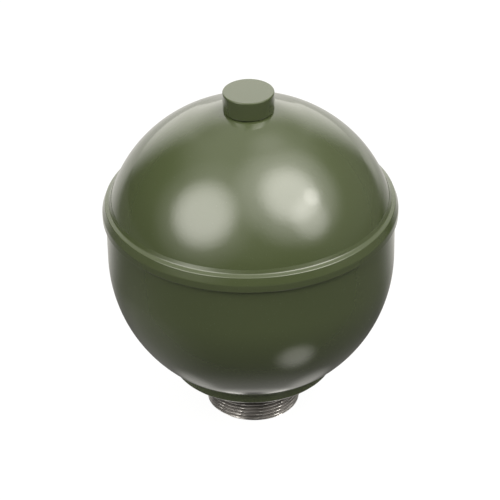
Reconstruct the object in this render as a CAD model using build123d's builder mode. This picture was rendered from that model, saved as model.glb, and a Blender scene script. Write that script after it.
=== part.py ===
"""Spherical diaphragm pressure accumulator, standing on its threaded port neck.

Millimetres, +Z up. The origin is the centre of the neck's end face, and +Z runs
up the axis through the port, the diaphragm and the gas charging plug.
"""

from build123d import *
import os

os.makedirs("parts", exist_ok=True)

# Driving dimensions: threaded neck, seal seat and collar
neck_radius = 17.5
neck_edge_chamfer = 1.3
thread_length = 12.6
undercut_radius = 16.1
undercut_taper = 0.8
seat_height = 16.0
seat_radius = 22.5
collar_radius = 30.5
collar_cone_rise = 1.7
collar_edge_chamfer = 0.5
collar_web = 2.3294
spigot_radius = 26.0
port_mouth_radius = 13.9

# Driving dimensions: bowl, the lower half of the pressure vessel
bowl_radius = 52.7
bowl_depth = 54.0
bowl_wall = 3.6
skirt_height = 17.5
ledge_drop = 3.6

# Driving dimensions: rolled band that holds the two halves together
band_step = 1.2
band_wall = 2.0
band_straight = 2.6
band_bend_radius = 4.3
band_edge_fillet = 0.35

# Driving dimensions: dome, the upper half of the pressure vessel
dome_rise = 50.6
dome_drop = 5.2
dome_wall = 3.6
rim_wall = 3.7
rim_step = 1.4
rim_seal_section = 1.24

# Driving dimensions: gas charging plug, its boss and its seal
plug_radius = 9.3
plug_height = 7.9
plug_edge_chamfer = 0.6
plug_underside_chamfer = 0.25
shank_radius = 5.0
shank_length = 11.5
shank_chamfer = 0.8
boss_radius = 8.2
boss_stand = 0.05
inner_boss_radius = 9.6
inner_boss_depth = 5.2
plug_seal_section = 1.36

# Driving dimensions: diaphragm, its clamp ring and its button
diaphragm_wall = 1.8
diaphragm_fold_radius = 1.2
bead_width = 2.7
bead_height = 5.6
bead_fillet = 0.6
clamp_flange_thickness = 1.5
clamp_sleeve_wall = 1.6
clamp_hook_height = 3.0
clamp_hook_reach = 0.8
clamp_hook_fillet = 1.1
button_radius = 14.0
button_waist_radius = 11.0
button_flange_thickness = 1.1
button_crown = 1.4

# Driving dimensions: damper valve in the neck
damper_radius = 11.4
damper_length = 9.0
valve_bore_radius = 10.4
clamp_land_radius = 4.5
inner_seat_radius = 6.9
outer_seat_radius = 9.2
land_width = 0.6
land_height = 0.8
inner_passage_count = 6
inner_passage_radius = 0.7
outer_passage_count = 8
outer_passage_radius = 0.75
leaf_count = 4
leaf_thickness = 0.25
leaf_edge_gap = 0.4
leaf_overlap = 0.5
window_count = 4
window_arc = 60
window_width = 1.4
rivet_recess = 0.6
rivet_head_radius = 4.95
rivet_head_height = 1.3
rivet_shank_radius = 2.5
rivet_clinch_radius = 3.7
rivet_clinch_height = 1.2
rivet_edge_chamfer = 0.3
bypass_radius = 0.6
rivet_washer_thickness = 1.0

# The bowl's ellipses start on the far side of the axis from the section that is revolved
half_turn = 180

# Clearances
fit_gap = 0.05
press_gap = 0.02
rubber_gap = 0.2
button_gap = 0.4


def ellipse_height(radius, half_width, half_height):
    """Height above its centre at which an upright ellipse has a given radius."""
    return half_height * (1 - (radius / half_width) ** 2) ** 0.5


def ring_corner(section):
    """Leg of a 45 degree corner that holds a seal ring with the fit gap all round."""
    return (section / 2 + fit_gap) * (2 + 2**0.5)


def finish(piece, name):
    """Labels a finished piece and writes it to its own file."""
    piece.part.label = name
    export_step(piece.part, f"parts/{name}.step")


# Heights of the damper valve, counted up from the neck's end face
rivet_head_top = rivet_recess + rivet_head_height
leaf_pack = leaf_count * leaf_thickness
damper_bottom_z = rivet_head_top + leaf_pack
damper_top_z = damper_bottom_z + damper_length
inner_pack_top_z = damper_top_z + leaf_pack
washer_top_z = inner_pack_top_z + rivet_washer_thickness
rivet_top_z = washer_top_z + rivet_clinch_height

# Radii of the damper valve's bores, rings of passages and leaves
shank_bore_radius = rivet_shank_radius + fit_gap
inner_passage_pitch = (clamp_land_radius + inner_seat_radius) / 2
outer_passage_pitch = (inner_seat_radius + land_width + outer_seat_radius) / 2
outer_leaf_radius = damper_radius - leaf_edge_gap
inner_leaf_radius = outer_seat_radius + leaf_overlap

# Bowl, seated on the collar's web, and the face of the fitting that lies flush with its inside
bowl_centre_z = seat_height + collar_web + ellipse_height(spigot_radius, bowl_radius, bowl_depth)
bowl_inner_radius = bowl_radius - bowl_wall
bowl_inner_depth = bowl_depth - bowl_wall
fitting_face_z = bowl_centre_z - ellipse_height(spigot_radius, bowl_inner_radius, bowl_inner_depth)
mouth_recess_z = fitting_face_z - button_flange_thickness

# Radii of the seam between the two halves, from the bowl's skirt outwards and back in
band_radius = bowl_radius + band_step
register_radius = band_radius - band_wall
rim_bore_radius = register_radius - rim_wall
dome_radius = register_radius + rim_step

# Heights of the seam between the two halves
band_bottom_z = bowl_centre_z + skirt_height
ledge_z = band_bottom_z - ledge_drop
dome_centre_z = ledge_z - dome_drop
clamp_top_z = ledge_z + clamp_flange_thickness
bend_centre_z = band_bottom_z + band_straight
band_top_z = bend_centre_z + band_bend_radius

# The diaphragm's bead, between the clamp ring's sleeve and the bowl
bead_outer_radius = bowl_inner_radius - rubber_gap
bead_inner_radius = bead_outer_radius - bead_width
bead_top_z = ledge_z - rubber_gap
bead_bottom_z = bead_top_z - bead_height
diaphragm_floor_z = fitting_face_z + rubber_gap
button_groove_top_z = diaphragm_floor_z + diaphragm_wall + rubber_gap

# Crown of the dome, where the plug seats on a low boss
boss_z = dome_centre_z + dome_rise + boss_stand
plug_top_z = boss_z + plug_height


# Port fitting: threaded neck, seal seat, collar and valve bore turned as one piece
with BuildPart() as port_fitting:
    bore_radius = damper_radius + press_gap
    recess_radius = button_radius + button_gap
    cone_top_z = seat_height + collar_cone_rise
    thread_top_z = neck_edge_chamfer + thread_length
    with BuildSketch(Plane.XZ):
        with BuildLine():
            Polyline(
                (port_mouth_radius, 0),
                (neck_radius - neck_edge_chamfer, 0),
                (neck_radius, neck_edge_chamfer),
                (neck_radius, thread_top_z - undercut_taper),
                (undercut_radius, thread_top_z),
                (undercut_radius, seat_height),
                (seat_radius, seat_height),
                (collar_radius - collar_edge_chamfer, cone_top_z),
                (collar_radius, cone_top_z + collar_edge_chamfer),
                (collar_radius, fitting_face_z),
                (recess_radius, fitting_face_z),
                (recess_radius, mouth_recess_z),
                (valve_bore_radius, mouth_recess_z),
                (valve_bore_radius, damper_top_z),
                (bore_radius, damper_top_z),
                (bore_radius, port_mouth_radius - bore_radius),
                close=True,
            )
        make_face()
    revolve(axis=Axis.Z)
    with BuildSketch(Plane.XZ):
        with Locations((0, bowl_centre_z)):
            Ellipse(bowl_radius + fit_gap, bowl_depth + fit_gap, rotation=half_turn)
        with Locations((spigot_radius, 0)):
            Rectangle(
                collar_radius, bowl_centre_z, align=(Align.MIN, Align.MIN), mode=Mode.INTERSECT
            )
    revolve(axis=Axis.Z, mode=Mode.SUBTRACT)
finish(port_fitting, "port_fitting")

# Space that the dome's rim and its seal take up inside the band
with BuildSketch() as dome_seat:
    with Locations((0, dome_centre_z)):
        Ellipse(dome_radius + fit_gap, dome_rise + fit_gap)
    with Locations((0, ledge_z)):
        Rectangle(
            2 * (register_radius + fit_gap),
            dome_rise,
            align=(Align.CENTER, Align.MIN),
            mode=Mode.INTERSECT,
        )

# Lower shell: deep drawn bowl with its skirt, the ledge and the rolled band
with BuildPart() as lower_shell:
    with BuildSketch(Plane.XZ):
        with Locations((0, bowl_centre_z)):
            Ellipse(bowl_radius, bowl_depth, rotation=half_turn)
            Rectangle(
                2 * bowl_radius, band_bottom_z - bowl_centre_z, align=(Align.CENTER, Align.MIN)
            )
        with BuildLine():
            band_side = Line((band_radius, band_bottom_z), (band_radius, bend_centre_z))
            band_bend = CenterArc(
                (band_radius - band_bend_radius, bend_centre_z), band_bend_radius, 0, 90
            )
            Polyline(band_bend @ 1, (0, band_top_z), (0, band_bottom_z), band_side @ 0)
        make_face()
        with Locations((0, bowl_centre_z)):
            Ellipse(
                bowl_inner_radius, bowl_inner_depth, rotation=half_turn, mode=Mode.SUBTRACT
            )
            Rectangle(
                2 * bowl_inner_radius,
                ledge_z - bowl_centre_z,
                align=(Align.CENTER, Align.MIN),
                mode=Mode.SUBTRACT,
            )
        add(dome_seat.sketch, mode=Mode.SUBTRACT)
        with Locations((spigot_radius + fit_gap, 0)):
            Rectangle(
                band_radius, band_top_z, align=(Align.MIN, Align.MIN), mode=Mode.INTERSECT
            )
    revolve(axis=Axis.Z)
    band_edges = lower_shell.edges().filter_by(GeomType.CIRCLE)
    fillet(
        band_edges.filter_by(lambda edge: edge.radius > band_radius - fit_gap).sort_by(Axis.Z)[0],
        band_edge_fillet,
    )
finish(lower_shell, "lower_shell")

# Upper shell: deep drawn dome with its turned rim, the crown boss and the plug's hole
with BuildPart() as upper_shell:
    rim_corner = ring_corner(rim_seal_section)
    with BuildSketch(Plane.XZ):
        with Locations((0, dome_centre_z)):
            Ellipse(dome_radius, dome_rise)
        with BuildLine():
            Polyline(
                (0, clamp_top_z),
                (register_radius - rim_corner, clamp_top_z),
                (register_radius, clamp_top_z + rim_corner),
                (register_radius, plug_top_z),
                (0, plug_top_z),
                close=True,
            )
        make_face(mode=Mode.INTERSECT)
    revolve(axis=Axis.Z)
    with BuildSketch(Plane.XZ):
        with Locations((0, dome_centre_z)):
            Ellipse(dome_radius - dome_wall, dome_rise - dome_wall)
        with Locations((0, dome_centre_z)):
            Rectangle(
                rim_bore_radius, dome_rise, align=(Align.MIN, Align.MIN), mode=Mode.INTERSECT
            )
    revolve(axis=Axis.Z, mode=Mode.SUBTRACT)
    with Locations((0, 0, boss_z)):
        Cylinder(boss_radius, dome_wall, align=(Align.CENTER, Align.CENTER, Align.MAX))
    with Locations((0, 0, boss_z - dome_wall / 2)):
        Cylinder(
            inner_boss_radius,
            dome_wall / 2 + inner_boss_depth,
            align=(Align.CENTER, Align.CENTER, Align.MAX),
        )
    with Locations((0, 0, boss_z)):
        CounterSinkHole(
            shank_radius + fit_gap,
            shank_radius + ring_corner(plug_seal_section),
            counter_sink_angle=90,
        )
finish(upper_shell, "upper_shell")

# Seal ring in the corner between the dome's rim, the band and the clamp ring
with BuildPart() as rim_seal:
    ring_inset = rim_seal_section / 2 + fit_gap
    with BuildSketch(Plane.XZ):
        with Locations((register_radius - ring_inset, clamp_top_z + ring_inset)):
            Circle(rim_seal_section / 2)
    revolve(axis=Axis.Z)
finish(rim_seal, "rim_seal")

# Clamp ring: flange trapped in the seam, sleeve and rounded hook behind the bead
with BuildPart() as clamp_ring:
    sleeve_outer_radius = bead_inner_radius - rubber_gap
    sleeve_inner_radius = sleeve_outer_radius - clamp_sleeve_wall
    hook_top_z = bead_bottom_z - rubber_gap
    hook_bottom_z = hook_top_z - clamp_hook_height
    with BuildSketch(Plane.XZ):
        with BuildLine():
            Polyline(
                (sleeve_inner_radius, clamp_top_z),
                (register_radius - fit_gap, clamp_top_z),
                (register_radius - fit_gap, ledge_z),
                (sleeve_outer_radius, ledge_z),
                (sleeve_outer_radius, hook_top_z),
                (sleeve_outer_radius + clamp_hook_reach, hook_top_z),
                (sleeve_outer_radius + clamp_hook_reach, hook_bottom_z),
                (sleeve_inner_radius, hook_bottom_z),
                close=True,
            )
        make_face()
    revolve(axis=Axis.Z)
    fillet(clamp_ring.faces().sort_by(Axis.Z)[0].edges(), clamp_hook_fillet)
finish(clamp_ring, "clamp_ring")

# Space inside the diaphragm's cup, up past its bead
with BuildSketch() as cup_space:
    with Locations((0, bowl_centre_z)):
        Ellipse(
            bowl_inner_radius - rubber_gap - diaphragm_wall,
            bowl_inner_depth - rubber_gap - diaphragm_wall,
            rotation=half_turn,
        )
        Rectangle(
            2 * (bead_outer_radius - diaphragm_wall),
            bead_bottom_z - bowl_centre_z,
            align=(Align.CENTER, Align.MIN),
        )
    with Locations((0, diaphragm_floor_z + diaphragm_wall)):
        Rectangle(
            2 * bead_outer_radius,
            bead_bottom_z - diaphragm_floor_z - diaphragm_wall,
            align=(Align.CENTER, Align.MIN),
            mode=Mode.INTERSECT,
        )
    with Locations((0, bead_bottom_z)):
        Rectangle(2 * bead_inner_radius, bead_height, align=(Align.CENTER, Align.MIN))

# Diaphragm: moulded rubber cup lying in the bowl, with its bead and button hole
with BuildPart() as diaphragm:
    with BuildSketch(Plane.XZ):
        with Locations((0, bowl_centre_z)):
            Ellipse(
                bowl_inner_radius - rubber_gap, bowl_inner_depth - rubber_gap, rotation=half_turn
            )
            Rectangle(
                2 * bead_outer_radius, bead_top_z - bowl_centre_z, align=(Align.CENTER, Align.MIN)
            )
        add(cup_space.sketch, mode=Mode.SUBTRACT)
        with Locations((button_waist_radius + rubber_gap, diaphragm_floor_z)):
            Rectangle(
                bead_outer_radius,
                bead_top_z - diaphragm_floor_z,
                align=(Align.MIN, Align.MIN),
                mode=Mode.INTERSECT,
            )
    revolve(axis=Axis.Z)
    floor_edges = diaphragm.edges().filter_by_position(
        Axis.Z, fitting_face_z, button_groove_top_z
    )
    fold_edges = floor_edges.filter_by(GeomType.CIRCLE).filter_by(
        lambda edge: edge.radius > button_radius
    )
    fillet(fold_edges, diaphragm_fold_radius)
    fillet(diaphragm.faces().sort_by(Axis.Z)[-1].edges(), bead_fillet)
finish(diaphragm, "diaphragm")

# Button: crowned spool in the middle of the diaphragm that closes the valve's bore
with BuildPart() as diaphragm_button:
    flange_top_z = button_groove_top_z + button_flange_thickness
    with BuildSketch(Plane.XZ):
        with BuildLine():
            rim_point = (button_radius, flange_top_z)
            crown_point = (0, flange_top_z + button_crown)
            far_rim_point = (-button_radius, flange_top_z)
            crown = ThreePointArc(rim_point, crown_point, far_rim_point)
            Polyline(
                rim_point,
                (button_radius, button_groove_top_z),
                (button_waist_radius, button_groove_top_z),
                (button_waist_radius, fitting_face_z),
                (button_radius, fitting_face_z),
                (button_radius, mouth_recess_z),
                (-button_radius, mouth_recess_z),
                (-button_radius, flange_top_z),
            )
        make_face()
        with Locations((0, mouth_recess_z)):
            Rectangle(
                button_radius, plug_top_z, align=(Align.MIN, Align.MIN), mode=Mode.INTERSECT
            )
    revolve(axis=Axis.Z)
finish(diaphragm_button, "diaphragm_button")

# Damper body: seat lands and grooves on both faces, joined by two rings of passages
with BuildPart() as damper_body:
    inner_land_radius = inner_seat_radius + land_width
    bottom_groove_z = damper_bottom_z + land_height
    top_groove_z = damper_top_z - land_height
    with BuildSketch(Plane.XZ):
        with BuildLine():
            Polyline(
                (shank_bore_radius, damper_bottom_z),
                (clamp_land_radius, damper_bottom_z),
                (clamp_land_radius, bottom_groove_z),
                (inner_seat_radius, bottom_groove_z),
                (inner_seat_radius, damper_bottom_z),
                (inner_land_radius, damper_bottom_z),
                (inner_land_radius, bottom_groove_z),
                (damper_radius, bottom_groove_z),
                (damper_radius, damper_top_z),
                (outer_seat_radius, damper_top_z),
                (outer_seat_radius, top_groove_z),
                (inner_land_radius, top_groove_z),
                (inner_land_radius, damper_top_z),
                (inner_seat_radius, damper_top_z),
                (inner_seat_radius, top_groove_z),
                (clamp_land_radius, top_groove_z),
                (clamp_land_radius, damper_top_z),
                (shank_bore_radius, damper_top_z),
                close=True,
            )
        make_face()
    revolve(axis=Axis.Z)
    with BuildSketch(Plane.XY.offset(damper_bottom_z)):
        with PolarLocations(inner_passage_pitch, inner_passage_count):
            Circle(inner_passage_radius)
        with PolarLocations(outer_passage_pitch, outer_passage_count):
            Circle(outer_passage_radius)
    extrude(amount=damper_length, mode=Mode.SUBTRACT)
finish(damper_body, "damper_body")

# Outer leaves: plain spring discs under the rivet's head, lifted by flow out of the sphere
for leaf_index in range(leaf_count):
    with BuildPart() as outer_leaf:
        with BuildSketch(Plane.XY.offset(rivet_head_top + leaf_index * leaf_thickness)):
            Circle(outer_leaf_radius)
            Circle(shank_bore_radius, mode=Mode.SUBTRACT)
        extrude(amount=leaf_thickness)
    finish(outer_leaf, f"outer_leaf_{leaf_index + 1}")

# Inner leaves: windowed spring discs on the body's top face, lifted by flow into the sphere
for leaf_index in range(leaf_count):
    with BuildPart() as inner_leaf:
        with BuildSketch(Plane.XY.offset(damper_top_z + leaf_index * leaf_thickness)):
            Circle(inner_leaf_radius)
            Circle(shank_bore_radius, mode=Mode.SUBTRACT)
            for window_index in range(window_count):
                window_start = window_index * 360 / window_count - window_arc / 2
                SlotArc(
                    CenterArc((0, 0), inner_passage_pitch, window_start, window_arc),
                    window_width,
                    mode=Mode.SUBTRACT,
                )
        extrude(amount=leaf_thickness)
    finish(inner_leaf, f"inner_leaf_{leaf_index + 1}")

# Rivet washer: spacer between the inner leaves and the rivet's clinched end
with BuildPart() as rivet_washer:
    with BuildSketch(Plane.XY.offset(inner_pack_top_z)):
        Circle(clamp_land_radius)
        Circle(shank_bore_radius, mode=Mode.SUBTRACT)
    extrude(amount=rivet_washer_thickness)
finish(rivet_washer, "rivet_washer")

# Damper rivet: holds the valve together and carries the bypass hole
with BuildPart() as damper_rivet:
    with BuildSketch(Plane.XZ):
        with BuildLine():
            Polyline(
                (bypass_radius, rivet_recess),
                (rivet_head_radius - rivet_edge_chamfer, rivet_recess),
                (rivet_head_radius, rivet_recess + rivet_edge_chamfer),
                (rivet_head_radius, rivet_head_top),
                (rivet_shank_radius, rivet_head_top),
                (rivet_shank_radius, washer_top_z),
                (rivet_clinch_radius, washer_top_z),
                (rivet_shank_radius, rivet_top_z),
                (bypass_radius, rivet_top_z),
                close=True,
            )
        make_face()
    revolve(axis=Axis.Z)
finish(damper_rivet, "damper_rivet")

# Charging plug: plain round head and shank, screwed down on the crown boss
with BuildPart() as charging_plug:
    shank_bottom_z = boss_z - shank_length
    with BuildSketch(Plane.XZ):
        with BuildLine():
            Polyline(
                (0, shank_bottom_z),
                (shank_radius - shank_chamfer, shank_bottom_z),
                (shank_radius, shank_bottom_z + shank_chamfer),
                (shank_radius, boss_z),
                (plug_radius - plug_underside_chamfer, boss_z),
                (plug_radius, boss_z + plug_underside_chamfer),
                (plug_radius, plug_top_z - plug_edge_chamfer),
                (plug_radius - plug_edge_chamfer, plug_top_z),
                (0, plug_top_z),
                close=True,
            )
        make_face()
    revolve(axis=Axis.Z)
finish(charging_plug, "charging_plug")

# Seal ring in the countersink under the charging plug's head
with BuildPart() as plug_seal:
    ring_inset = plug_seal_section / 2 + fit_gap
    with BuildSketch(Plane.XZ):
        with Locations((shank_radius + ring_inset, boss_z - ring_inset)):
            Circle(plug_seal_section / 2)
    revolve(axis=Axis.Z)
finish(plug_seal, "plug_seal")
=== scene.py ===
"""Looks of the spherical diaphragm pressure accumulator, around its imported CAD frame.

The turned pieces are drawn as outlines of (radius, height) points in millimetres,
measured from the neck's end face, and are turned about the axis into metres.
"""

import math

import bpy
import numpy as np
from mathutils import Matrix, Vector


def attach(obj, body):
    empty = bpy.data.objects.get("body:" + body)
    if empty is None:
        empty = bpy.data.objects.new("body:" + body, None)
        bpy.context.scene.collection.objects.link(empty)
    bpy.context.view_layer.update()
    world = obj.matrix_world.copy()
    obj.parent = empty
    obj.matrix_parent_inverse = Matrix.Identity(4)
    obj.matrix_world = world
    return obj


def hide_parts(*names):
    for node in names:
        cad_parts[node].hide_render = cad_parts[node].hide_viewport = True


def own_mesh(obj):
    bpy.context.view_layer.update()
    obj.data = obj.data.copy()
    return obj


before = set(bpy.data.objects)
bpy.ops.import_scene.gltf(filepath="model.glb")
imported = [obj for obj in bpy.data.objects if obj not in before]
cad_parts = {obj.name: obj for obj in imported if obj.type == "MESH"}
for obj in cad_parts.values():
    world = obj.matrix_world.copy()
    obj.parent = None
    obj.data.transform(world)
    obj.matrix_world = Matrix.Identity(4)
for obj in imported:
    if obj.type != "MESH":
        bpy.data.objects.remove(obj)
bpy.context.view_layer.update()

# Units and fineness of the turned pieces
MM = 0.001
SIDES = 256
CORNER_STEPS = 4
CURVE_STEPS = 56
SEAL_SIDES = 24
SHARP_ANGLE = math.radians(28)

# Roundings of the turned edges, from fine to wide
FINE_ROUND = 0.15
EDGE_ROUND = 0.2
SOFT_ROUND = 0.3
WIDE_ROUND = 0.4

# Threaded neck, seal seat and collar
NECK_RADIUS = 17.5
NECK_CHAMFER = 0.35
THREAD_TOP_Z = 13.9
THREAD_TAPER = 0.8
THREAD_PITCH = 1.5
THREAD_DEPTH = 0.92
THREAD_CREST = 0.14
THREAD_ROOT = 0.22
ROWS_PER_PITCH = 14
UNDERCUT_RADIUS = 16.1
SEAT_Z = 16.0
SEAT_RADIUS = 22.5
COLLAR_RADIUS = 30.5
COLLAR_CONE_RISE = 1.0
COLLAR_CHAMFER = 1.3
SPIGOT_RADIUS = 26.0
MOUTH_RADIUS = 13.9
FITTING_FACE_Z = 22.546
RECESS_RADIUS = 14.4
RECESS_Z = 21.446
VALVE_BORE_RADIUS = 10.4
VALVE_TOP_Z = 11.9
VALVE_SEAT_RADIUS = 11.42

# Finishes of the fitting: dark steel from here up and in, and paint from here outwards
DARK_STEEL_Z = THREAD_TOP_Z - 0.6
DARK_STEEL_RADIUS = COLLAR_RADIUS - COLLAR_CHAMFER + 0.1
WALL_PAINT_RADIUS = COLLAR_RADIUS - 0.2

# Painted shade on the neck's outside: darker in the thread's roots, and growing darker with height
# towards the collar
NECK_OUTSIDE_RADIUS = UNDERCUT_RADIUS - 0.2
NECK_OUTSIDE_Z = 0.2
ROOT_PAINTED_SHADE = 0.7
UPPER_PAINTED_SHADE = 0.6
UPPER_SHADE_Z = 5
UPPER_SHADE_RISE = 5
PAINTED_SHADE_COVER = 0.9

# Bowl with its skirt and the rolled band
BOWL_RADIUS = 52.7
BOWL_DEPTH = 54.0
BOWL_CENTRE_Z = 65.3
WALL = 3.6
BAND_RADIUS = 53.9
BAND_BOTTOM_Z = 82.6
BAND_EDGE_ROUND = 0.35
BAND_BEND_Z = 85.4
BAND_BEND_ROUND = 2.2
FOLD_RADIUS = 52.85
FOLD_Z = 88.2
FOLD_ROUND = 0.42
LIP_FOOT_RADIUS = 51.35
LIP_FOOT_Z = 88.69
LIP_FOOT_ROUND = 0.7
LIP_END_Z = 90.05
LIP_THICKNESS = 0.05
LEDGE_Z = 79.2

# Dome with its rim, the crown boss and the charging plug
DOME_RADIUS = 53.3
DOME_RISE = 50.6
DOME_CENTRE_Z = 74.0
REGISTER_RADIUS = 51.9
RIM_BORE_RADIUS = 48.2
RIM_BOTTOM_Z = 80.7
RIM_CORNER = 2.3
BOSS_RADIUS = 8.2
BOSS_Z = 125.45
CROWN_SWELL = 1.05
CROWN_SWELL_RADIUS = 22.0
INNER_BOSS_RADIUS = 9.6
INNER_BOSS_Z = 117.65
INNER_BOSS_ROUND = 0.5
PLUG_RADIUS = 9.3
PLUG_TOP_Z = 132.55
PLUG_EDGE = 0.6
SHANK_RADIUS = 5.0
SHANK_BOTTOM_Z = 113.15
SHANK_CHAMFER = 0.8
SEAL_CORNER = 2.5
FIT_GAP = 0.05

# Seal rings, clamp ring, diaphragm and button
RIM_SEAL_SECTION = 1.24
PLUG_SEAL_SECTION = 1.36
RUBBER_WALL = 1.8
RUBBER_GAP = 0.2
BEAD_RADIUS = 48.9
BEAD_WIDTH = 2.7
BEAD_TOP_Z = 79.0
BEAD_HEIGHT = 5.6
BEAD_ROUND = 0.6
WAIST_HOLE_RADIUS = 11.2
BUTTON_RADIUS = 14.0
BUTTON_WAIST_RADIUS = 11.0
BUTTON_FLANGE = 1.1
BUTTON_ROUND = 0.25
BUTTON_CROWN = 1.4
BUTTON_CROWN_EDGE = 0.94
BUTTON_CROWN_RINGS = 12

# Damper rivet
RIVET_RECESS_Z = 0.6
RIVET_HEAD_RADIUS = 4.95
RIVET_HEAD_TOP_Z = 1.9
RIVET_SHANK_RADIUS = 2.5
RIVET_CLINCH_RADIUS = 3.7
RIVET_CLINCH_Z = 13.9
RIVET_TOP_Z = 15.1
RIVET_EDGE_ROUND = 0.1
BYPASS_RADIUS = 0.6
BYPASS_ROUND = 0.08

# Camera, in metres and degrees, from the way the photograph was taken
CAMERA_TARGET = Vector((-0.000405, 0, 0.06553))
CAMERA_DISTANCE = 0.90088
CAMERA_ELEVATION = 32.972
CAMERA_ROLL = -1.021
CAMERA_LENS = 175.96
CAMERA_SENSOR = 36
CAMERA_NEAR = 0.05
CAMERA_FAR = 20

# Brightness of the room, where 1 is white, its warm tint, and its soft lights: direction,
# angles in degrees within which each is full and beyond which it has faded, and brightness
WHITE = (1, 1, 1, 1)
ROOM_GLOW = 0.04
ROOM_TINT = (1, 0.98, 0.92, 1)
SOFT_LIGHTS = [
    ((-0.583, -0.472, 0.662), 9, 31, 4.0),
    ((-0.583, -0.472, 0.662), 18, 48, 0.7),
    ((0.478, -0.3, 0.825), 7, 27, 3.7),
    ((0.478, -0.3, 0.825), 16, 46, 1.8),
    ((0.706, -0.188, 0.683), 3, 8, 3.0),
    ((0.72, -0.43, 0.54), 3, 19, 2.1),
    ((0.05, -0.72, 0.69), 8, 40, 0.14),
    ((0.9, 0.1, 0.42), 15, 60, 0.16),
    ((0, 0.3, 0.95), 8, 50, 0.65),
    ((-0.05, 0.98, 0.2), 17, 47, 1.3),
]

# The floor, in metres, and how bright it is to the camera
FLOOR_SIZE = 6
FLOOR_Z = -0.0002
FLOOR_LIFT = 0.95

# How bright the floor is to the gloss of the paint and the steel. A sector behind the piece
# starts at a depth, brightens by a rate to the metre, spreads with the depth and fades at its
# sides by a rate to the metre.
FLOOR_MIRROR = 0.54
FLOOR_MIRROR_START = 0.021
FLOOR_MIRROR_RATE = 9
FLOOR_MIRROR_SPREAD = 0.75
FLOOR_MIRROR_FADE = 4

# Soft round patches on the floor for the same gloss: middle, radii of the full and of the
# faded patch, and brightness, which below 0 darkens
FLOOR_PATCHES = [
    ((0, -0.013, 0), 0.013, 0.021, 0.26),
    ((0, -0.02, 0), 0.016, 0.042, 0.13),
    ((0, 0, 0), 0.03, 0.078, 0.07),
    ((0, -0.019, 0), 0.002, 0.0075, -0.38),
    ((-0.0085, -0.0165, 0), 0.002, 0.0065, 0.38),
    ((0.011, -0.016, 0), 0.002, 0.0065, 0.34),
    ((-0.028, -0.016, 0), 0.004, 0.017, 0.24),
    ((0.028, -0.018, 0), 0.004, 0.017, 0.26),
    ((0.038, -0.068, 0), 0.006, 0.024, 0.9),
    ((-0.09, -0.02, 0), 0.02, 0.08, 0.12),
    ((0.26, 0.25, 0), 0.06, 0.24, -0.2),
]


def rounded(corners):
    """An outline from (radius, height, rounding) corners; a corner without rounding stays sharp."""
    outline = []
    for index, corner in enumerate(corners):
        here = np.array(corner[:2])
        rounding = corner[2] if len(corner) > 2 else 0
        if not rounding:
            outline.append(tuple(here))
            continue
        before = np.array(corners[index - 1][:2]) - here
        after = np.array(corners[(index + 1) % len(corners)][:2]) - here
        before_length, after_length = np.hypot(*before), np.hypot(*after)
        turn = math.acos(np.dot(before, after) / before_length / after_length)
        reach = min(rounding / math.tan(turn / 2), before_length / 2, after_length / 2)
        first = here + before / before_length * reach
        last = here + after / after_length * reach
        for t in np.linspace(0, 1, CORNER_STEPS + 1):
            outline.append(tuple(first * (1 - t) ** 2 + here * 2 * t * (1 - t) + last * t**2))
    return outline


def oval(centre_z, half_width, half_height, start, end, steps=CURVE_STEPS):
    """Points on an upright oval about the axis, from one angle in degrees to another."""
    angles = np.radians(np.linspace(start, end, steps + 1))
    return [(half_width * math.cos(a), centre_z + half_height * math.sin(a)) for a in angles]


def angle_at_radius(radius, half_width):
    """Angle in degrees above an oval's widest place at which it has a given radius."""
    return math.degrees(math.acos(radius / half_width))


def angle_at_height(height, centre_z, half_height):
    """Angle in degrees above an oval's widest place at which it has a given height."""
    return math.degrees(math.asin((height - centre_z) / half_height))


def ring_of_faces(low, high):
    """Faces between two neighbouring rings of corners, where a ring of one corner is a pole."""
    faces = []
    for side in range(SIDES):
        following = (side + 1) % SIDES
        corners = [
            low[side % len(low)],
            low[following % len(low)],
            high[following % len(high)],
            high[side % len(high)],
        ]
        faces.append(list(dict.fromkeys(corners)))
    return faces


def turned(name, outline, cutter=None):
    """A solid turned about the axis, from an outline up the outside and down the inside."""
    angles = np.arange(SIDES) * 2 * math.pi / SIDES
    points, rings = [], []
    for radius, height in outline:
        first = len(points)
        if radius == 0:
            points.append((0, 0, height * MM))
        else:
            radii = np.full(SIDES, radius)
            if cutter:
                radii = np.minimum(radii, cutter(height, angles))
            for angle, ring_radius in zip(angles, radii * MM):
                points.append(
                    (ring_radius * math.cos(angle), ring_radius * math.sin(angle), height * MM)
                )
        rings.append(range(first, len(points)))
    faces = []
    for index, ring in enumerate(rings):
        above = rings[(index + 1) % len(rings)]
        if len(ring) > 1 or len(above) > 1:
            faces += ring_of_faces(ring, above)
    mesh = bpy.data.meshes.new(name)
    mesh.from_pydata(points, [], faces)
    mesh.shade_smooth()
    mesh.set_sharp_from_angle(angle=SHARP_ANGLE)
    piece = bpy.data.objects.new(name, mesh)
    bpy.context.scene.collection.objects.link(piece)
    weighting = piece.modifiers.new("even_shading", "WEIGHTED_NORMAL")
    weighting.keep_sharp = True
    return piece


def thread_cutter(height, angles):
    """Radius left by the thread tool at a height, for each angle round the neck."""
    if height > THREAD_TOP_Z:
        return np.full(len(angles), np.inf)
    phase = np.mod(height / THREAD_PITCH - angles / (2 * math.pi), 1)
    from_root = np.abs(phase - 0.5) * 2
    slope = (1 - THREAD_CREST - from_root) / (1 - THREAD_CREST - THREAD_ROOT)
    bore_side = np.full(len(angles), UNDERCUT_RADIUS)
    return np.maximum(NECK_RADIUS - THREAD_DEPTH * np.clip(slope, 0, 1), bore_side)


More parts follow.
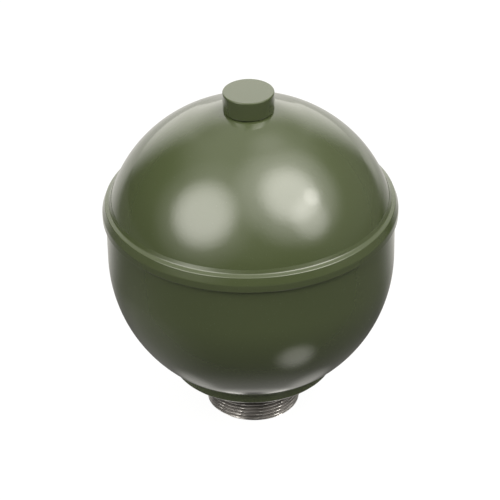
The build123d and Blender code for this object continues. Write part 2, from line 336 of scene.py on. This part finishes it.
def neck_rows():
    """The neck's outer outline, in rows fine enough for the thread."""
    rows = int(THREAD_TOP_Z / THREAD_PITCH * ROWS_PER_PITCH)
    outline = []
    for height in np.linspace(0, THREAD_TOP_Z, rows + 1):
        chamfer = NECK_RADIUS - NECK_CHAMFER + height
        taper_share = (height - THREAD_TOP_Z + THREAD_TAPER) / THREAD_TAPER
        taper = NECK_RADIUS - max(taper_share, 0) * (NECK_RADIUS - UNDERCUT_RADIUS)
        outline.append((min(chamfer, taper, NECK_RADIUS), height))
    return outline


def port_fitting():
    """Threaded neck, seal seat and collar, with the valve's bore."""
    bowl_depth = BOWL_DEPTH + FIT_GAP
    bowl_radius = BOWL_RADIUS + FIT_GAP
    collar_z = SEAT_Z + COLLAR_CONE_RISE
    seat_of_bowl = oval(
        BOWL_CENTRE_Z,
        bowl_radius,
        bowl_depth,
        -angle_at_radius(COLLAR_RADIUS, bowl_radius),
        -angle_at_radius(SPIGOT_RADIUS, bowl_radius),
        CORNER_STEPS,
    )
    outside = rounded(
        [
            (UNDERCUT_RADIUS, THREAD_TOP_Z + FIT_GAP),
            (UNDERCUT_RADIUS, SEAT_Z, WIDE_ROUND),
            (SEAT_RADIUS, SEAT_Z, SOFT_ROUND),
            (COLLAR_RADIUS - COLLAR_CHAMFER, collar_z, SOFT_ROUND),
            (COLLAR_RADIUS, collar_z + COLLAR_CHAMFER, SOFT_ROUND),
            (COLLAR_RADIUS, FITTING_FACE_Z),
        ]
    )[:-1]
    inside = rounded(
        [
            (SPIGOT_RADIUS, collar_z),
            (SPIGOT_RADIUS, FITTING_FACE_Z, EDGE_ROUND),
            (RECESS_RADIUS, FITTING_FACE_Z, EDGE_ROUND),
            (RECESS_RADIUS, RECESS_Z, EDGE_ROUND),
            (VALVE_BORE_RADIUS, RECESS_Z, SOFT_ROUND),
            (VALVE_BORE_RADIUS, VALVE_TOP_Z),
            (VALVE_SEAT_RADIUS, VALVE_TOP_Z),
            (VALVE_SEAT_RADIUS, MOUTH_RADIUS - VALVE_SEAT_RADIUS, FINE_ROUND),
            (MOUTH_RADIUS, 0, FINE_ROUND),
            (NECK_RADIUS - NECK_CHAMFER, 0),
        ]
    )[1:-1]
    outline = neck_rows() + outside + seat_of_bowl + inside
    return turned("port_fitting_threaded", outline, thread_cutter)


def lower_shell():
    """Drawn bowl and skirt with the rolled band that folds over the dome's rim."""
    seat_radius = DOME_RADIUS + FIT_GAP
    seat_rise = DOME_RISE + FIT_GAP
    spigot_side = SPIGOT_RADIUS + FIT_GAP
    inner_radius = BOWL_RADIUS - WALL
    inner_depth = BOWL_DEPTH - WALL
    bowl = oval(
        BOWL_CENTRE_Z, BOWL_RADIUS, BOWL_DEPTH, -angle_at_radius(spigot_side, BOWL_RADIUS), 0
    )
    skirt = rounded(
        [
            (BOWL_RADIUS, BOWL_CENTRE_Z),
            (BOWL_RADIUS, BAND_BOTTOM_Z, FINE_ROUND),
            (BAND_RADIUS, BAND_BOTTOM_Z, BAND_EDGE_ROUND),
            (BAND_RADIUS, BAND_BEND_Z),
        ]
    )[1:-1]
    lip_angle = math.radians(angle_at_height(LIP_END_Z, DOME_CENTRE_Z, seat_rise))
    lip_radius = seat_radius * math.cos(lip_angle)
    fold = rounded(
        [
            (BAND_RADIUS, BAND_BOTTOM_Z),
            (BAND_RADIUS, BAND_BEND_Z, BAND_BEND_ROUND),
            (FOLD_RADIUS, FOLD_Z, FOLD_ROUND),
            (LIP_FOOT_RADIUS, LIP_FOOT_Z, LIP_FOOT_ROUND),
            (lip_radius + LIP_THICKNESS, LIP_END_Z),
            (lip_radius, LIP_END_Z),
        ]
    )[1:]
    dome_seat = oval(
        DOME_CENTRE_Z,
        seat_radius,
        seat_rise,
        math.degrees(lip_angle),
        angle_at_radius(REGISTER_RADIUS + FIT_GAP, seat_radius),
        CORNER_STEPS,
    )[1:]
    register = [(REGISTER_RADIUS + FIT_GAP, LEDGE_Z), (inner_radius, LEDGE_Z)]
    hollow = oval(
        BOWL_CENTRE_Z, inner_radius, inner_depth, 0, -angle_at_radius(spigot_side, inner_radius)
    )
    return turned("lower_shell_drawn", bowl + skirt + fold + dome_seat + register + hollow)


def crown_swell(radius):
    """Rise of the dome's outside towards the boss, over its oval."""
    share = max(1 - (radius - BOSS_RADIUS) / (CROWN_SWELL_RADIUS - BOSS_RADIUS), 0)
    return CROWN_SWELL * share**2 * (3 - 2 * share)


def upper_shell():
    """Drawn dome with its rim, the seal's corner, the crown boss and the plug's hole."""
    inner_radius = DOME_RADIUS - WALL
    inner_rise = DOME_RISE - WALL
    hole_radius = SHANK_RADIUS + FIT_GAP
    boss_foot_z = oval_height(INNER_BOSS_RADIUS, DOME_CENTRE_Z, inner_radius, inner_rise)
    rim = [
        (REGISTER_RADIUS - RIM_CORNER, RIM_BOTTOM_Z),
        (REGISTER_RADIUS, RIM_BOTTOM_Z + RIM_CORNER),
    ]
    dome = oval(
        DOME_CENTRE_Z,
        DOME_RADIUS,
        DOME_RISE,
        angle_at_radius(REGISTER_RADIUS, DOME_RADIUS),
        angle_at_radius(BOSS_RADIUS, DOME_RADIUS),
    )
    dome = [(radius, height + crown_swell(radius)) for radius, height in dome]
    boss = rounded(
        [
            dome[-1],
            (BOSS_RADIUS, BOSS_Z, FINE_ROUND),
            (SHANK_RADIUS + SEAL_CORNER, BOSS_Z),
            (hole_radius, BOSS_Z - SEAL_CORNER),
            (hole_radius, INNER_BOSS_Z),
            (INNER_BOSS_RADIUS, INNER_BOSS_Z, INNER_BOSS_ROUND),
            (INNER_BOSS_RADIUS, boss_foot_z),
        ]
    )[1:]
    hollow = oval(
        DOME_CENTRE_Z,
        inner_radius,
        inner_rise,
        angle_at_radius(INNER_BOSS_RADIUS, inner_radius),
        angle_at_radius(RIM_BORE_RADIUS, inner_radius),
    )[1:]
    bore = [(RIM_BORE_RADIUS, RIM_BOTTOM_Z)]
    return turned("upper_shell_drawn", rim + dome + boss + hollow + bore)


def oval_height(radius, centre_z, half_width, half_height):
    """Height of an oval's upper side at a given radius."""
    return centre_z + half_height * math.sqrt(1 - (radius / half_width) ** 2)


def charging_plug():
    """Plain round plug with a softened top edge, screwed down on the crown boss."""
    outline = rounded(
        [
            (0, SHANK_BOTTOM_Z),
            (SHANK_RADIUS - SHANK_CHAMFER, SHANK_BOTTOM_Z),
            (SHANK_RADIUS, SHANK_BOTTOM_Z + SHANK_CHAMFER),
            (SHANK_RADIUS, BOSS_Z),
            (PLUG_RADIUS, BOSS_Z, SOFT_ROUND),
            (PLUG_RADIUS, PLUG_TOP_Z, PLUG_EDGE),
            (0, PLUG_TOP_Z),
        ]
    )
    return turned("charging_plug_turned", outline)


def seal_ring(name, radius, height, section):
    """A round rubber ring in its corner."""
    angles = np.linspace(0, 2 * math.pi, SEAL_SIDES + 1)[:-1]
    half = section / 2
    outline = [(radius + half * math.cos(a), height + half * math.sin(a)) for a in angles]
    return turned(name, outline)


def diaphragm():
    """Moulded rubber cup lying in the bowl, with its bead and the button's hole."""
    outer_radius = BOWL_RADIUS - WALL - RUBBER_GAP
    outer_depth = BOWL_DEPTH - WALL - RUBBER_GAP
    inner_radius = outer_radius - RUBBER_WALL
    inner_depth = outer_depth - RUBBER_WALL
    floor_z = FITTING_FACE_Z + RUBBER_GAP
    bead_z = BEAD_TOP_Z - BEAD_HEIGHT
    floor_angle = angle_at_height(floor_z, BOWL_CENTRE_Z, outer_depth)
    inner_angle = angle_at_height(floor_z + RUBBER_WALL, BOWL_CENTRE_Z, inner_depth)
    outer_wall = oval(BOWL_CENTRE_Z, outer_radius, outer_depth, floor_angle, 0)
    inner_wall = oval(BOWL_CENTRE_Z, inner_radius, inner_depth, 0, inner_angle)
    bead = rounded(
        [
            (outer_radius, BOWL_CENTRE_Z),
            (outer_radius, BEAD_TOP_Z, BEAD_ROUND),
            (BEAD_RADIUS - BEAD_WIDTH, BEAD_TOP_Z, BEAD_ROUND),
            (BEAD_RADIUS - BEAD_WIDTH, bead_z, BEAD_ROUND),
            (inner_radius, bead_z, BEAD_ROUND),
            (inner_radius, BOWL_CENTRE_Z),
        ]
    )[1:-1]
    hole = [(WAIST_HOLE_RADIUS, floor_z + RUBBER_WALL), (WAIST_HOLE_RADIUS, floor_z)]
    return turned("diaphragm_moulded", outer_wall + bead + inner_wall + hole)


def diaphragm_button():
    """Crowned spool in the diaphragm's middle that closes the valve's bore."""
    groove_top_z = FITTING_FACE_Z + RUBBER_WALL + 2 * RUBBER_GAP
    flange_top_z = groove_top_z + BUTTON_FLANGE
    spool = rounded(
        [
            (0, RECESS_Z),
            (BUTTON_RADIUS, RECESS_Z, BUTTON_ROUND),
            (BUTTON_RADIUS, FITTING_FACE_Z, BUTTON_ROUND),
            (BUTTON_WAIST_RADIUS, FITTING_FACE_Z, EDGE_ROUND),
            (BUTTON_WAIST_RADIUS, groove_top_z, EDGE_ROUND),
            (BUTTON_RADIUS, groove_top_z, BUTTON_ROUND),
            (BUTTON_RADIUS, flange_top_z, BUTTON_ROUND),
            (0, flange_top_z),
        ]
    )[:-1]
    crown = []
    for share in np.linspace(BUTTON_CROWN_EDGE, 0, BUTTON_CROWN_RINGS):
        crown.append((BUTTON_RADIUS * share, flange_top_z + BUTTON_CROWN * (1 - share**2)))
    return turned("diaphragm_button_turned", spool + crown)


def damper_rivet():
    """Rivet that holds the damper valve together, with its bypass hole."""
    outline = rounded(
        [
            (BYPASS_RADIUS, RIVET_RECESS_Z, BYPASS_ROUND),
            (RIVET_HEAD_RADIUS, RIVET_RECESS_Z, SOFT_ROUND),
            (RIVET_HEAD_RADIUS, RIVET_HEAD_TOP_Z, RIVET_EDGE_ROUND),
            (RIVET_SHANK_RADIUS, RIVET_HEAD_TOP_Z),
            (RIVET_SHANK_RADIUS, RIVET_CLINCH_Z),
            (RIVET_CLINCH_RADIUS, RIVET_CLINCH_Z, EDGE_ROUND),
            (RIVET_SHANK_RADIUS, RIVET_TOP_Z, WIDE_ROUND),
            (BYPASS_RADIUS, RIVET_TOP_Z),
        ]
    )
    return turned("damper_rivet_turned", outline)


class Shade:
    """A socket of a node tree. Python's operators on it add the tree's Math nodes."""

    def __init__(self, finish, socket):
        self.finish = finish
        self.socket = socket

    def maths(self, operation, *others):
        sockets = dict(enumerate([self, *others]))
        return self.finish.node("Math", {"operation": operation}, sockets)

    def __add__(self, other):
        return self.maths("ADD", other)

    def __radd__(self, other):
        return self + other

    def __sub__(self, other):
        return self.maths("SUBTRACT", other)

    def __rsub__(self, other):
        return self * -1 + other

    def __mul__(self, other):
        return self.maths("MULTIPLY", other)

    def __rmul__(self, other):
        return self * other

    def __truediv__(self, other):
        return self.maths("DIVIDE", other)

    def __gt__(self, other):
        return self.maths("GREATER_THAN", other)

    def __pow__(self, other):
        return self.maths("POWER", other)

    def clamped(self):
        return self.maths("MINIMUM", 1).maths("MAXIMUM", 0)

    def eased(self):
        """Held between 0 and 1, with soft ends."""
        share = self.clamped()
        return share * share * (3 - 2 * share)


class Finish:
    """The node tree of one finish, or of the room."""

    def __init__(self, tree):
        self.tree = tree
        tree.nodes.clear()

    def node(self, kind, settings=None, sockets=None, output=0):
        """A new node with its settings and its inputs, as the socket that it puts out."""
        made = self.tree.nodes.new("ShaderNode" + kind)
        for setting, value in (settings or {}).items():
            setattr(made, setting, value)
        for name, value in (sockets or {}).items():
            socket = self.find(made.inputs, name)
            if isinstance(value, Shade):
                self.tree.links.new(value.socket, socket)
            else:
                socket.default_value = value
        if made.outputs:
            return Shade(self, self.find(made.outputs, output))

    def find(self, sockets, name):
        """A socket by its number or its name."""
        if isinstance(name, int):
            return sockets[name]
        return next(s for s in sockets if name in (s.identifier, s.name) and s.enabled)

    def place(self):
        """Place in the object, in metres."""
        return self.node("TexCoord", output="Object")

    def grain(self, place, scale, detail, roughness=0.5, distortion=0):
        """Noise from 0 to 1 at a scale given in grains to the metre."""
        sockets = {
            "Vector": place,
            "Scale": scale,
            "Detail": detail,
            "Roughness": roughness,
            "Distortion": distortion,
        }
        return self.node("TexNoise", None, sockets)

    def mix(self, share, first, second):
        """One colour over another, by a share from 0 to 1."""
        sockets = {"Factor_Float": share, "A_Color": first, "B_Color": second}
        return self.node("Mix", {"data_type": "RGBA"}, sockets, "Result_Color")

    def turning(self, place):
        """Radius and height as a place, so that grain on it runs round the axis like tool marks."""
        x = self.node("SeparateXYZ", None, {0: place}, "X")
        y = self.node("SeparateXYZ", None, {0: place}, "Y")
        z = self.node("SeparateXYZ", None, {0: place}, "Z")
        radius = (x * x + y * y) ** 0.5
        return self.node("CombineXYZ", None, {"X": radius, "Z": z})

    def nearness(self, place, middle, inner, outer):
        """1 within an inner distance of a point, fading to 0 at an outer distance."""
        away = self.node("VectorMath", {"operation": "DISTANCE"}, {0: place, 1: middle}, "Value")
        return ((outer - away) / (outer - inner)).eased()

    def bump(self, height, distance, strength):
        """Small relief of a given depth in metres."""
        sockets = {"Height": height, "Distance": distance, "Strength": strength}
        return self.node("Bump", None, sockets)

    def surface(self, **sockets):
        """The finish's shader, with its sockets' names written with underscores."""
        named = {name.replace("_", " "): value for name, value in sockets.items()}
        self.show(self.node("BsdfPrincipled", None, named))

    def show(self, shader):
        self.node("OutputMaterial", None, {"Surface": shader})


def finish_named(name):
    """A new material and its node tree."""
    material = bpy.data.materials.new(name)
    material.use_nodes = True
    return material, Finish(material.node_tree)


def colour(red, green, blue):
    return (red, green, blue, 1)


def olive_paint(name):
    """Even stoved olive gloss with a faint orange peel."""
    material, paint = finish_named(name)
    place = paint.place()
    drift = paint.grain(place, 22, 3)
    peel = paint.grain(place, 620, 1)
    dust = paint.grain(place, 2600, 2)
    tone = paint.mix(drift, colour(0.055, 0.07, 0.029), colour(0.063, 0.079, 0.034))
    speck = ((dust - 0.66) * 9).clamped()
    paint.surface(
        Base_Color=paint.mix(speck * 0.25, tone, colour(0.16, 0.17, 0.12)),
        Roughness=0.16 + drift * 0.06 + speck * 0.1,
        Coat_Weight=1.0,
        Coat_Roughness=0.08,
        Normal=paint.bump(peel, 0.00012, 0.25),
    )
    return material


def turned_steel():
    """Bare turned steel of the neck, with fine rings left by the tool, and painted shade in its
    roots and on its upper threads under the collar.
    """
    material, steel = finish_named("turned_steel")
    place = steel.place()
    rings = steel.grain(steel.turning(place), 3800, 3, 0.6)
    stain = steel.grain(place, 160, 4, 0.6)
    flat = steel.node("VectorMath", {"operation": "MULTIPLY"}, {0: place, 1: (1, 1, 0)})
    radius = steel.node("VectorMath", {"operation": "LENGTH"}, {0: flat}, "Value") / MM
    height = steel.node("SeparateXYZ", None, {0: place}, "Z") / MM
    groove = ((NECK_RADIUS - radius) / THREAD_DEPTH).clamped()
    upper = ((height - UPPER_SHADE_Z) / UPPER_SHADE_RISE).clamped()
    outside = (radius > NECK_OUTSIDE_RADIUS) * (height > NECK_OUTSIDE_Z)
    # Painted shade: the colour darkens in the thread's roots and up towards the collar, where their
    # shade falls
    painted_shade = (groove * ROOT_PAINTED_SHADE + upper * UPPER_PAINTED_SHADE) * outside
    tone = steel.mix(rings, colour(0.56, 0.54, 0.52), colour(0.8, 0.77, 0.75))
    tone = steel.mix(((stain - 0.5) * 1.8).clamped(), tone, colour(0.3, 0.28, 0.26))
    steel.surface(
        Base_Color=steel.mix(painted_shade.eased() * PAINTED_SHADE_COVER, tone, colour(0.05, 0.046, 0.042)),
        Metallic=1.0,
        Roughness=0.22 + rings * 0.12 + stain * 0.06,
        Normal=steel.bump(rings, 0.00004, 0.4),
    )
    return material


def dark_seat_steel():
    """Dark brushed steel of the seal seat and the collar's underside."""
    material, steel = finish_named("dark_seat_steel")
    place = steel.place()
    rings = steel.grain(steel.turning(place), 2200, 4, 0.7)
    stain = steel.grain(place, 120, 4, 0.6)
    steel.surface(
        Base_Color=steel.mix(rings, colour(0.05, 0.047, 0.045), colour(0.17, 0.16, 0.155)),
        Metallic=0.75,
        Roughness=0.38 + stain * 0.2,
        Normal=steel.bump(rings, 0.00008, 0.6),
    )
    return material


def spring_leaf():
    """Grey-green spring steel of the damper's leaves."""
    material, leaf = finish_named("spring_leaf")
    place = leaf.place()
    brushing = leaf.grain(leaf.turning(place), 3000, 3)
    stain = leaf.grain(place, 200, 3)
    leaf.surface(
        Base_Color=leaf.mix(stain, colour(0.13, 0.155, 0.135), colour(0.22, 0.22, 0.2)),
        Metallic=0.6,
        Roughness=0.34 + brushing * 0.14,
        Normal=leaf.bump(brushing, 0.00003, 0.3),
    )
    return material


def rivet_alloy():
    """Pale satin alloy of the damper rivet."""
    material, alloy = finish_named("rivet_alloy")
    place = alloy.place()
    satin = alloy.grain(place, 1800, 3)
    alloy.surface(
        Base_Color=alloy.mix(satin, colour(0.62, 0.62, 0.58), colour(0.74, 0.74, 0.71)),
        Metallic=0.35,
        Roughness=0.42 + satin * 0.15,
        Normal=alloy.bump(satin, 0.00004, 0.35),
    )
    return material


def sintered_steel():
    """Pressed and sintered steel of the damper body, grey and finely pored."""
    material, steel = finish_named("sintered_steel")
    place = steel.place()
    pores = steel.node("TexVoronoi", None, {"Vector": place, "Scale": 3600}, "Distance")
    stain = steel.grain(place, 140, 3)
    steel.surface(
        Base_Color=steel.mix(stain, colour(0.16, 0.155, 0.15), colour(0.25, 0.245, 0.235)),
        Metallic=0.85,
        Roughness=0.45 + stain * 0.12,
        Normal=steel.bump(pores, 0.00005, 0.5),
    )
    return material


def plated_steel():
    """Zinc-plated steel of the clamp ring and the rivet's washer."""
    material, steel = finish_named("plated_steel")
    place = steel.place()
    rings = steel.grain(steel.turning(place), 1500, 3)
    bloom = steel.grain(place, 90, 4, 0.65)
    steel.surface(
        Base_Color=steel.mix(bloom, colour(0.5, 0.48, 0.4), colour(0.66, 0.66, 0.62)),
        Metallic=1.0,
        Roughness=0.26 + bloom * 0.15,
        Normal=steel.bump(rings, 0.00004, 0.3),
    )
    return material


def moulded_rubber():
    """Black moulded rubber with a matt, slightly dusty skin."""
    material, rubber = finish_named("moulded_rubber")
    place = rubber.place()
    skin = rubber.grain(place, 1400, 3)
    bloom = rubber.grain(place, 60, 3)
    rubber.surface(
        Base_Color=rubber.mix(bloom, colour(0.012, 0.012, 0.012), colour(0.03, 0.029, 0.028)),
        Roughness=0.5 + skin * 0.2,
        Normal=rubber.bump(skin, 0.00006, 0.35),
    )
    return material


def button_plastic():
    """Natural moulded nylon of the diaphragm's button."""
    material, plastic = finish_named("button_plastic")
    place = plastic.place()
    flow = plastic.grain(place, 45, 2, 0.5, 1.5)
    skin = plastic.grain(place, 1600, 2)
    plastic.surface(
        Base_Color=plastic.mix(flow, colour(0.05, 0.05, 0.052), colour(0.085, 0.085, 0.088)),
        Roughness=0.36 + skin * 0.12,
        Normal=plastic.bump(skin, 0.00004, 0.3),
    )
    return material


def cover(piece, *materials):
    """Gives a piece its materials, in the order of its slots."""
    piece.data.materials.clear()
    for material in materials:
        piece.data.materials.append(material)


def finish_fitting(fitting):
    """Bare steel on the neck and collar's chamfer, a dark seat, and paint on the collar's wall."""
    for face in fitting.data.polygons:
        radius = math.hypot(face.center.x, face.center.y) / MM
        height = face.center.z / MM
        if height > DARK_STEEL_Z and radius < DARK_STEEL_RADIUS:
            face.material_index = 1
        if height > SEAT_Z + COLLAR_CONE_RISE and radius > WALL_PAINT_RADIUS:
            face.material_index = 2


def lobe(room, direction, towards, inner, outer):
    """1 within an inner angle of a direction, fading to 0 at an outer angle, in degrees."""
    axis = Vector(towards).normalized()
    aligned = room.node(
        "VectorMath", {"operation": "DOT_PRODUCT"}, {0: direction, 1: axis}, "Value"
    )
    edge, core = math.cos(math.radians(outer)), math.cos(math.radians(inner))
    return ((aligned - edge) / (core - edge)).eased()


def room_light():
    """White backdrop to the camera, and soft lights with faded edges to the piece."""
    world = bpy.data.worlds.new("studio")
    world.use_nodes = True
    bpy.context.scene.world = world
    room = Finish(world.node_tree)
    camera = room.node("LightPath", output="Is Camera Ray")
    direction = room.node("TexCoord", output="Generated")
    glow = ROOM_GLOW
    for towards, inner, outer, brightness in SOFT_LIGHTS:
        glow = lobe(room, direction, towards, inner, outer) * brightness + glow
    strength = glow * (1 - camera) + camera
    tint = room.mix(camera, ROOM_TINT, WHITE)
    shader = room.node("Background", None, {"Color": tint, "Strength": strength})
    room.node("OutputWorld", None, {"Surface": shader})


def pale_floor():
    """Plain pale floor under the piece, clear from beneath."""
    bpy.ops.mesh.primitive_plane_add(size=FLOOR_SIZE, location=(0, 0, FLOOR_Z))
    floor = bpy.context.object
    floor.name = "floor"
    material, ground = finish_named("pale_floor")
    place = ground.place()
    mottle = ground.grain(place, 3, 2)
    tone = ground.mix(mottle, colour(0.065, 0.065, 0.063), colour(0.075, 0.075, 0.073))
    matt = ground.node("BsdfDiffuse", None, {"Color": tone})
    seen = ground.node("LightPath", output="Is Camera Ray")
    mirrored = ground.node("LightPath", output="Is Glossy Ray")
    side = ground.node("SeparateXYZ", None, {0: place}, "X").maths("ABSOLUTE")
    depth = ground.node("SeparateXYZ", None, {0: place}, "Y")
    behind = ((depth - FLOOR_MIRROR_START) * FLOOR_MIRROR_RATE).eased()
    aside = ((side - depth * FLOOR_MIRROR_SPREAD) * FLOOR_MIRROR_FADE).eased()
    gloss = behind * (1 - aside) * FLOOR_MIRROR
    for middle, inner, outer, brightness in FLOOR_PATCHES:
        gloss = gloss + ground.nearness(place, middle, inner, outer) * brightness
    strength = FLOOR_LIFT * seen + gloss * mirrored
    tint = ground.mix(seen, ROOM_TINT, WHITE)
    lift = ground.node("Emission", None, {"Color": tint, "Strength": strength})
    lit = ground.node("AddShader", None, {0: matt, 1: lift})
    underside = ground.node("NewGeometry", output="Backfacing")
    clear = ground.node("BsdfTransparent")
    ground.show(ground.node("MixShader", None, {0: underside, 1: lit, 2: clear}))
    cover(floor, material)


def camera():
    """The photograph's viewing angle, distance and framing."""
    lens = bpy.data.cameras.new("camera")
    lens.lens = CAMERA_LENS
    lens.sensor_width = CAMERA_SENSOR
    lens.clip_start = CAMERA_NEAR
    lens.clip_end = CAMERA_FAR
    view = bpy.data.objects.new("camera", lens)
    bpy.context.scene.collection.objects.link(view)
    tilt = Matrix.Rotation(math.radians(90 - CAMERA_ELEVATION), 4, "X")
    roll = Matrix.Rotation(math.radians(CAMERA_ROLL), 4, "Z")
    back = (tilt @ Vector((0, 0, 1))) * CAMERA_DISTANCE
    view.matrix_world = Matrix.Translation(CAMERA_TARGET + back) @ tilt @ roll
    bpy.context.scene.camera = view


def dress(piece, body, node, slot, *materials):
    """A modelled piece that stands for a CAD node and moves with its body."""
    cover(piece, *materials)
    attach(piece, body)
    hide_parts(node)


paint = olive_paint("olive_paint")
plug_paint = olive_paint("plug_paint")
steel = turned_steel()
seat_steel = dark_seat_steel()
leaf = spring_leaf()
alloy = rivet_alloy()
sinter = sintered_steel()
plating = plated_steel()
rubber = moulded_rubber()
plastic = button_plastic()

fitting = port_fitting()
dress(fitting, "vessel", "port_fitting", "turned_steel", steel, seat_steel, paint)
finish_fitting(fitting)
dress(lower_shell(), "vessel", "lower_shell", "paint", paint)
dress(upper_shell(), "vessel", "upper_shell", "paint", paint)
dress(charging_plug(), "vessel", "charging_plug", "plug_paint", plug_paint)
rim_inset = RIM_SEAL_SECTION / 2 + FIT_GAP
rim_ring = seal_ring(
    "rim_seal_ring", REGISTER_RADIUS - rim_inset, RIM_BOTTOM_Z + rim_inset, RIM_SEAL_SECTION
)
dress(rim_ring, "vessel", "rim_seal", "rubber", rubber)
plug_inset = PLUG_SEAL_SECTION / 2 + FIT_GAP
plug_ring = seal_ring(
    "plug_seal_ring", SHANK_RADIUS + plug_inset, BOSS_Z - plug_inset, PLUG_SEAL_SECTION
)
dress(plug_ring, "vessel", "plug_seal", "rubber", rubber)
dress(diaphragm_button(), "button", "diaphragm_button", "button_plastic", plastic)
dress(damper_rivet(), "vessel", "damper_rivet", "rivet_alloy", alloy)
cup = diaphragm()
dress(cup, "vessel", "diaphragm", "rubber", rubber)
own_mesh(cup)

for name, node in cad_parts.items():
    if name == "damper_body":
        cover(node, sinter)
    elif name in ("clamp_ring", "rivet_washer"):
        cover(node, plating)
    elif "leaf" in name:
        cover(node, leaf)

room_light()
pale_floor()
camera()
bpy.context.scene.view_settings.view_transform = "Standard"
